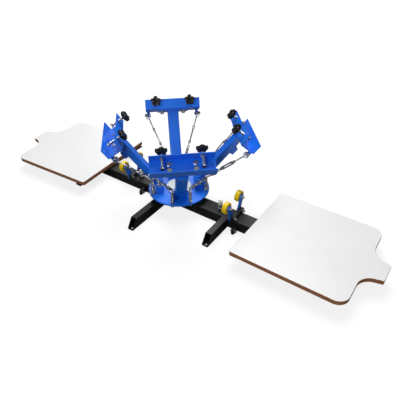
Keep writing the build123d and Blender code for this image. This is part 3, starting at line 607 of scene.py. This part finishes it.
post_radial, post_out = 0.117, 0.038
post_eye_height = 0.147
disc_bottom = 0.070
shank_bottom, shank_top = 0.0590, 0.1395
nut_height = 0.008
shank = threaded_rod(0.005, 0.0015, shank_bottom, shank_top)
eye = wire_eye(post_eye_height, 0.0045, 0.002, math.pi / 2)
nut = hex_nut(0.017, nut_height)
nuts = copy_piece(nut, "post_nuts", move(disc_top, 0, 0), move(disc_bottom - nut_height, 0, 0))
packing_radius, packing_wire, packing_pitch, packing_turns = 0.0056, 0.0014, 0.0034, 14
packing_start = 0.0880
start_piece("circle", vertices=8, radius=packing_wire, location=(packing_start, 0, packing_radius),
            rotation=(math.pi / 2, 0, 0))
apply_modifier("SCREW", axis="X", angle=math.tau, screw_offset=packing_pitch,
               iterations=packing_turns, steps=20, render_steps=20)
bpy.ops.object.mode_set(mode="EDIT")
bpy.ops.mesh.select_all(action="SELECT")
bpy.ops.mesh.fill_holes(sides=8)
packing = end_piece("packing_coil", zinc_plate, 60)
eyebolt = join_pieces("eyebolt", shank, eye, nuts, packing)
discard(nut)
upright = Matrix.Rotation(-math.pi / 2, 4, "Y")
eyebolts = copy_piece(eyebolt, "upright_eyebolts", *[
    hub_frame(name) @ move(post_radial, side * post_out, 0) @ upright
    for name in arm_names for side in (1, -1)
])
discard(eyebolt)
ride(eyebolts, "carousel")
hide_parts("anchor_posts")


# ---------------------------------------------------------------- arms
# Tube of 50 by 30 mm with a T-plate and a tongue welded on, painted with the same blue enamel as
# the disc. The weld beads show through the paint as ripples.
arm_raise = {"back": 56, "left": 56, "front": 56, "right": 50}


def arm_frame(name):
    """An arm's frame: X along the raised arm from its pin, Y to its left, Z square to both."""
    return hub_frame(name) @ raised(name)


def raised(name):
    """The same frame, seen from the carousel's frame when X points along the arm."""
    lift = Matrix.Rotation(-math.radians(arm_raise[name]), 4, "Y")
    return move(hinge_radius, 0, hinge_height) @ lift


tube_half_width, tube_half_height = 0.025, 0.015
plate_back = 0.269
clamp_drop = 0.0075
across_bead = weld_bead(0.044, blue_enamel)
upright_bead = weld_bead(0.024, blue_enamel)
tongue_bead = weld_bead(0.032, blue_enamel)
lug_bead = weld_bead(0.016, blue_enamel, 0.0016, 0.002)
tongue_along, tongue_out, tongue_drop = 0.206, 0.0203, 0.0155
lug_along, lug_out, lug_drop = 0.2738, 0.1129, 0.0286
across_places, upright_places, tongue_places, lug_places = [], [], [], []
for side in (1, -1):
    across_places.append(move(plate_back, 0, side * tube_half_height) @ facing((0, 1, 0)))
    upright_places.append(move(plate_back, side * tube_half_width, 0) @ facing((0, 0, 1)))
    tongue_places.append(move(tongue_along, side * tongue_out, -tongue_drop))
    lug_places.append(move(lug_along, side * lug_out, -lug_drop) @ facing((0, side, -1)))
arm_beads = join_pieces(
    "arm_beads", copy_piece(across_bead, "across_beads", *across_places),
    copy_piece(upright_bead, "upright_beads", *upright_places),
    copy_piece(tongue_bead, "tongue_beads", *tongue_places),
    copy_piece(lug_bead, "lug_beads", *lug_places),
)
for name in arm_names:
    finish_nodes(blue_enamel, "arm_" + name, "clamp_" + name)
    welds = copy_piece(arm_beads, "arm_welds_" + name, arm_frame(name))
    ride(welds, "arm_" + name)
discard(across_bead, upright_bead, tongue_bead, lug_bead, arm_beads)


# ---------------------------------------------------------------- clamp bolts and washers
# Each clamp channel is bolted to its arm through four holes, and a pin under each end carries a
# turnbuckle's eye. All of this hardware is bright zinc plate.
web_face = 0.277
clamp_bolt_out = 0.049
clamp_bolt_rows = (0.016, -0.009)
clamp_washer = washer(0.0102, 0.0053, 0.0016)
clamp_washers = copy_piece(clamp_washer, "clamp_washers", *[
    move(x, y, z - clamp_drop) @ facing((way, 0, 0))
    for x, way in ((web_face, 1), (plate_back, -1))
    for y in (clamp_bolt_out, -clamp_bolt_out) for z in clamp_bolt_rows
])
for name in arm_names:
    finish_nodes(zinc_plate, "arm_fasteners_" + name)
    washers = copy_piece(clamp_washers, "clamp_washers_" + name, arm_frame(name))
    ride(washers, "arm_" + name)
discard(clamp_washer, clamp_washers, small_washer)


# ---------------------------------------------------------------- springs
# Extension springs, close-wound from 2.5 mm bright drawn wire, with a full loop bent up at each
# end. One loop hangs in the eye of an eyebolt and the other in the turnbuckle's hook.
# Drawing through a die leaves the wire a bright grey with faint darker streaks.
spring_wire, tree = new_material("bright_drawn_wire")
place = add_node(tree, "TexCoord")
streaks = add_node(tree, "TexNoise", {
    "Vector": place.outputs["Object"], "Scale": 1 / 0.003, "Detail": 2.0, "Roughness": 0.5,
})
tint = add_node(tree, "ValToRGB", {"Fac": streaks.outputs["Fac"]})
tint.color_ramp.elements[0].color = linear("#8F9092")
tint.color_ramp.elements[1].color = linear("#CFCFCB")
drawn = add_node(tree, "BsdfPrincipled", {
    "Base Color": tint.outputs["Color"], "Metallic": 1.0, "Roughness": 0.26,
})
add_node(tree, "OutputMaterial", {"Surface": drawn.outputs[0]})

wire_radius = 0.00125
coil_radius = 0.006 - wire_radius
coil_turns = 18
coil_length = 0.046
loop_radius = 0.006
coil_start = 2 * loop_radius + wire_radius / 2
spring_end = coil_start + coil_length + 2 * loop_radius + wire_radius / 2
start_piece("circle", vertices=8, radius=wire_radius, location=(coil_start, 0, coil_radius),
            rotation=(math.pi / 2, 0, 0))
apply_modifier("SCREW", axis="X", angle=math.tau, screw_offset=coil_length / coil_turns,
               iterations=coil_turns, steps=16, render_steps=16)
bpy.ops.object.mode_set(mode="EDIT")
bpy.ops.mesh.select_all(action="SELECT")
bpy.ops.mesh.fill_holes(sides=8)
spring_pieces = [end_piece("coil", spring_wire, 60)]
for loop_middle in (loop_radius, spring_end - loop_radius):
    start_piece("torus", major_radius=loop_radius, minor_radius=wire_radius, major_segments=32,
                minor_segments=8, location=(loop_middle, 0, 0))
    spring_pieces.append(end_piece("loop", spring_wire, 60))
spring = join_pieces("spring_pattern", *spring_pieces)

pin_along, pin_out, pin_drop = 0.257, 0.116, 0.0255


def link_reach(name, side):
    """From an eyebolt to the pin under the clamp, in the carousel's frame turned to the arm."""
    post_point = Vector((post_radial, side * post_out, post_eye_height))
    return post_point, raised(name) @ Vector((pin_along, side * pin_out, -pin_drop)) - post_point


def link_frame(name, side):
    """A link's frame in its arm's hub frame: X from the eyebolt to the clamp's pin."""
    post_point, reach = link_reach(name, side)
    direction = reach.normalized()
    sideways = (Vector((0, 1, 0)) - direction * direction.y).normalized()
    square = direction.cross(sideways)
    turn = Matrix((direction, sideways, square)).transposed().to_4x4()
    return Matrix.Translation(post_point) @ turn


for name in arm_names:
    for side, side_name in ((1, "ccw"), (-1, "cw")):
        place = hub_frame(name) @ link_frame(name, side)
        piece = copy_piece(spring, f"spring_{name}_{side_name}", place)
        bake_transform(piece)
        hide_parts("springs_" + name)
discard(spring)


# ---------------------------------------------------------------- turnbuckles
# Open-bodied turnbuckles that set each spring's pull. The body is forged steel, the rods are
# threaded where they enter it and bent at their far ends into a hook eye and a wide eye that
# hangs on the clamp's pin, and all of it is bright zinc plate.
body_length = 0.083
boss_length = 0.012
bar_out = 0.00575
parts = []
for boss_x, outer in ((boss_length / 2, -1), (body_length - boss_length / 2, 1)):
    start_piece("cylinder", vertices=24, radius=0.0056, depth=boss_length,
                location=(boss_x, 0, 0), rotation=(0, math.pi / 2, 0))
    pick("faces", lambda middle: (middle.x - boss_x) * outer > boss_length * 0.49)
    bpy.ops.mesh.bevel(offset=0.0012, segments=2)
    parts.append(end_piece("boss", zinc_plate))
for side in (1, -1):
    start_piece("cube", size=1.0, location=(body_length / 2, side * bar_out, 0),
                scale=(body_length - 2 * boss_length, 0.0045, 0.0062))
    # Each end of a bar bends in towards its boss.
    for end in (1, -1):
        pick("faces", lambda middle: (middle.x - body_length / 2) * end > 0.02)
        bpy.ops.mesh.extrude_region_move(
            TRANSFORM_OT_translate={"value": (end * 0.006, -side * 0.0028, 0)})
        bpy.ops.mesh.extrude_region_move(
            TRANSFORM_OT_translate={"value": (end * 0.004, -side * 0.0004, 0)})
    bpy.ops.mesh.select_all(action="SELECT")
    bpy.ops.mesh.bevel(offset=0.0012, segments=2)
    parts.append(end_piece("bar", zinc_plate))
body = join_pieces("turnbuckle_body", *parts)

link_length = link_reach("front", 1)[1].length
body_to_pin = 0.064
body_start = link_length - body_to_pin - body_length
hook_eye_inner, hook_wire = 0.004, 0.00175
pin_eye_inner, pin_wire = 0.0095, 0.002
rod_radius, rod_pitch = 0.003, 0.00125
# The pin is 4 mm in radius, and the eye hangs on its far side with 0.4 mm of play.
pin_radius, pin_play = 0.004, 0.0004
eye_middle = link_length - (pin_eye_inner - pin_radius) + pin_play
hook_rod_start = spring_end + hook_eye_inner + hook_wire
eye_rod_end = eye_middle - pin_eye_inner - pin_wire
rod_reach = boss_length + 0.012
eye_rod_start = body_start + body_length - rod_reach
hook_rod = threaded_rod(rod_radius, rod_pitch, hook_rod_start, body_start + rod_reach)
eye_rod = threaded_rod(rod_radius, rod_pitch, eye_rod_start, eye_rod_end)
hook_eye = wire_eye(spring_end, hook_eye_inner, hook_wire, math.pi / 2)
rods = join_pieces("rods_pattern", hook_rod, eye_rod, hook_eye)
for name in arm_names:
    for side, side_name in ((1, "ccw"), (-1, "cw")):
        frame_here = link_frame(name, side)
        pin_axis = (raised(name).to_3x3() @ Vector((0, side, 1))).normalized()
        local_axis = frame_here.to_3x3().inverted() @ pin_axis
        tilt = math.atan2(-local_axis.y, local_axis.z)
        pin_eye = wire_eye(eye_middle, pin_eye_inner, pin_wire, tilt)
        roll = Matrix.Rotation(math.pi / 2 if name in ("back", "right") else 0, 4, "X")
        placed_body = copy_piece(body, "placed_body", move(body_start, 0, 0) @ roll)
        pattern = join_pieces(
            "link_pattern", copy_piece(rods, "link_rods", Matrix.Identity(4)), placed_body, pin_eye,
        )
        piece = copy_piece(pattern, f"turnbuckle_{name}_{side_name}", hub_frame(name) @ frame_here)
        discard(pattern)
        ride(piece, "turnbuckles_" + name)
        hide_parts("turnbuckles_" + name)
discard(body, rods)


# ---------------------------------------------------------------- clamp screws
# Two hand screws press the screen's frame into each channel. The screw is zinc-plated M10 steel,
# its star knob is moulded in black glass-filled nylon with a dished top, and a loose steel foot
# with a rubber face turns on its end.
# The nylon is a deep black, glossier where hands have rubbed it.
knob_plastic, tree = new_material("black_moulded_nylon")
place = add_node(tree, "TexCoord")
# The mould's fine spark texture is 0.3 mm; it is drawn at 0.8 mm.
texture = add_node(tree, "TexNoise", {
    "Vector": place.outputs["Object"], "Scale": 1 / 0.0008, "Detail": 2.0, "Roughness": 0.5,
})
relief = add_node(tree, "Bump", {
    "Height": texture.outputs["Fac"], "Strength": 0.12, "Distance": 0.0002,
})
handling = add_node(tree, "TexNoise", {
    "Vector": place.outputs["Object"], "Scale": 1 / 0.01, "Detail": 2.0, "Roughness": 0.5,
})
gloss = add_node(tree, "MapRange", {
    "Value": handling.outputs["Fac"], "To Min": 0.16, "To Max": 0.34,
})
moulded = add_node(tree, "BsdfPrincipled", {
    "Base Color": linear("#0E0E10"), "Roughness": gloss.outputs["Result"], "IOR": 1.53,
    "Normal": relief.outputs["Normal"],
})
add_node(tree, "OutputMaterial", {"Surface": moulded.outputs[0]})

# The rubber is a dull dark grey with a chalky bloom.
rubber, tree = new_material("black_rubber")
place = add_node(tree, "TexCoord")
chalk = add_node(tree, "TexNoise", {
    "Vector": place.outputs["Object"], "Scale": 1 / 0.002, "Detail": 3.0, "Roughness": 0.6,
})
tint = add_node(tree, "ValToRGB", {"Fac": chalk.outputs["Fac"]})
tint.color_ramp.elements[0].color = linear("#161616")
tint.color_ramp.elements[1].color = linear("#2A2A2B")
soft = add_node(tree, "BsdfPrincipled", {
    "Base Color": tint.outputs["Color"], "Roughness": 0.75, "IOR": 1.52,
})
add_node(tree, "OutputMaterial", {"Surface": soft.outputs[0]})

screw_length = 0.061
knob_radius = 0.024
knob_top = screw_length + 0.020
knob_body = 0.0125
start_piece("cylinder", vertices=40, radius=knob_radius, depth=knob_body,
            location=(0, 0, knob_top - knob_body / 2))


def lobe_step(middle):
    """How many of the rim's 9 degree steps a point is from the nearest of the five lobes."""
    return round(abs((math.degrees(math.atan2(middle.y, middle.x)) + 36) % 72 - 36) / 9)


lobe_outline = ((1, 0.0238), (2, 0.0225), (3, 0.0196), (4, 0.0158))
for step, reach in lobe_outline:
    pick("verts", lambda middle: lobe_step(middle) == step)
    bpy.ops.transform.resize(value=(reach / knob_radius, reach / knob_radius, 1),
                             center_override=(0, 0, 0))
knob_crown = lambda middle: middle.z > knob_top - 0.0002 and middle.xy.length < 0.001
pick("faces", knob_crown)
bpy.ops.mesh.bevel(offset=0.0030, segments=3)
pick("faces", knob_crown)
bpy.ops.mesh.inset(thickness=0.0025)
bpy.ops.mesh.extrude_region_move(TRANSFORM_OT_translate={"value": (0, 0, -0.0014)})
pick("faces", lambda middle: middle.z < knob_top - knob_body + 0.0002)
# The neck tapers below the body in three steps.
for drop, narrow in ((0.0018, 0.86), (0.0030, 0.72), (0.0027, 0.94)):
    bpy.ops.mesh.extrude_region_move(TRANSFORM_OT_translate={"value": (0, 0, -drop)})
    bpy.ops.transform.resize(value=(narrow, narrow, 1), center_override=(0, 0, 0))
apply_modifier("SUBSURF", levels=1, render_levels=1)
knob = end_piece("knob_pattern", knob_plastic, 50)

foot_top, knob_grip = 0.0093, 0.004
screw = threaded_rod(0.005, 0.0015, foot_top, screw_length + knob_grip)
screw.data.transform(facing((0, 0, 1)))

start_piece("cylinder", vertices=40, radius=0.009, depth=0.0028, location=(0, 0, 0.0026))
pick("faces", lambda middle: middle.z > 0.0038 and middle.xy.length < 0.001)
bpy.ops.mesh.bevel(offset=0.0008, segments=2)
pick("faces", lambda middle: middle.z > 0.0036 and middle.xy.length < 0.001)
bpy.ops.mesh.inset(thickness=0.0018)
bpy.ops.mesh.extrude_region_move(TRANSFORM_OT_translate={"value": (0, 0, 0.0046)})
bpy.ops.mesh.inset(thickness=0.0012)
foot_cup = end_piece("foot_cup_pattern", zinc_plate)
start_piece("cylinder", vertices=40, radius=0.0086, depth=0.0016, location=(0, 0, 0.0008))
pick("faces", lambda middle: middle.z < 0.0002)
bpy.ops.mesh.bevel(offset=0.0005, segments=2)
pick("faces", lambda middle: middle.z < 0.0001 and middle.xy.length < 0.001)
bpy.ops.mesh.inset(thickness=0.0030)
bpy.ops.mesh.extrude_region_move(TRANSFORM_OT_translate={"value": (0, 0, 0.0005)})
foot_face = end_piece("foot_face_pattern", rubber)

screw_along = 0.305
screw_out = 0.075
screws = {
    "back_left": (1, -0.006), "back_right": (-1, -0.008),
    "left_near": (1, -0.014), "left_far": (-1, -0.004),
    "front_right": (1, -0.016), "front_left": (-1, -0.016),
    "right_far": (1, -0.010), "right_near": (-1, 0.002),
}
for screw_name, (side, height) in screws.items():
    arm_name = screw_name.split("_")[0]
    place = arm_frame(arm_name) @ move(screw_along, side * screw_out, height - clamp_drop)
    star = copy_piece(knob, "star_knob_" + screw_name, place)
    ride(star, "knob_" + screw_name)
    thread = copy_piece(screw, "clamp_screw_" + screw_name, place)
    ride(thread, "knob_" + screw_name)
    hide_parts("knob_" + screw_name)
    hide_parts("knob_" + screw_name)
    cup = copy_piece(foot_cup, "foot_cup_" + screw_name, place)
    ride(cup, "pad_" + screw_name)
    face = copy_piece(foot_face, "foot_face_" + screw_name, place)
    ride(face, "pad_" + screw_name)
    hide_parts("foot_pad_" + screw_name)
    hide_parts("foot_pad_" + screw_name)
discard(knob, screw, foot_cup, foot_face)


# ---------------------------------------------------------------- pallets
# Boards of 18 mm plywood, faced on both sides with white melamine laminate and edged with a brown
# stained band that is rubbed down flush. The faces are smooth and slightly glossy, and the band
# shows the layers of the ply as darker lines.
board, tree = new_material("white_laminate_on_plywood")
place = add_node(tree, "TexCoord")
where = add_node(tree, "SeparateXYZ", {0: place.outputs["Object"]})
facing_up = add_node(tree, "NewGeometry")
normal_parts = add_node(tree, "SeparateXYZ", {0: facing_up.outputs["Normal"]})
upright_share = add_node(tree, "Math", {0: normal_parts.outputs["Z"]}, operation="ABSOLUTE")
is_face = add_node(tree, "Math", {0: upright_share.outputs[0], 1: 0.9}, operation="GREATER_THAN")
# The plies are 1.5 mm thick, so their lines repeat every 3 mm across the edge.
plies = add_node(tree, "Math", {0: where.outputs["Z"], 1: math.tau / 0.003}, operation="MULTIPLY")
ply_wave = add_node(tree, "Math", {0: plies.outputs[0]}, operation="SINE")
stretch = add_node(tree, "Mapping", {"Vector": place.outputs["Object"], "Scale": (1.0, 1.0, 9.0)})
fibre = add_node(tree, "TexNoise", {
    "Vector": stretch.outputs[0], "Scale": 1 / 0.012, "Detail": 4.0, "Roughness": 0.6,
})
ply_share = add_node(tree, "MapRange", {
    "Value": ply_wave.outputs[0], "From Min": -1.0, "To Min": 0.0, "To Max": 0.35,
})
fibre_sum = add_node(tree, "Math", {
    0: fibre.outputs["Fac"], 1: ply_share.outputs[0],
}, operation="ADD")
edge_tint = add_node(tree, "ValToRGB", {"Fac": fibre_sum.outputs[0]})
edge_tint.color_ramp.elements[0].position = 0.35
edge_tint.color_ramp.elements[0].color = linear("#6A3E26")
edge_tint.color_ramp.elements[1].position = 0.85
edge_tint.color_ramp.elements[1].color = linear("#BC8258")
smudge = add_node(tree, "TexNoise", {
    "Vector": place.outputs["Object"], "Scale": 1 / 0.15, "Detail": 3.0, "Roughness": 0.5,
})
face_tint = add_node(tree, "ValToRGB", {"Fac": smudge.outputs["Fac"]})
face_tint.color_ramp.elements[0].position = 0.3
face_tint.color_ramp.elements[0].color = linear("#F0F0F1")
face_tint.color_ramp.elements[1].position = 0.7
face_tint.color_ramp.elements[1].color = linear("#F5F5F4")
colour = add_node(tree, "Mix", {
    0: is_face.outputs[0], 6: edge_tint.outputs["Color"], 7: face_tint.outputs["Color"],
}, data_type="RGBA")
gloss = add_node(tree, "MapRange", {
    "Value": is_face.outputs[0], "To Min": 0.6, "To Max": 0.32,
})
laminate = add_node(tree, "BsdfPrincipled", {
    "Base Color": colour.outputs[2], "Roughness": gloss.outputs["Result"], "IOR": 1.5,
})
add_node(tree, "OutputMaterial", {"Surface": laminate.outputs[0]})
finish_nodes(board, "pallet_right", "pallet_left")
finish_nodes(powder_coat, "pallet_bracket_right", "pallet_bracket_left")
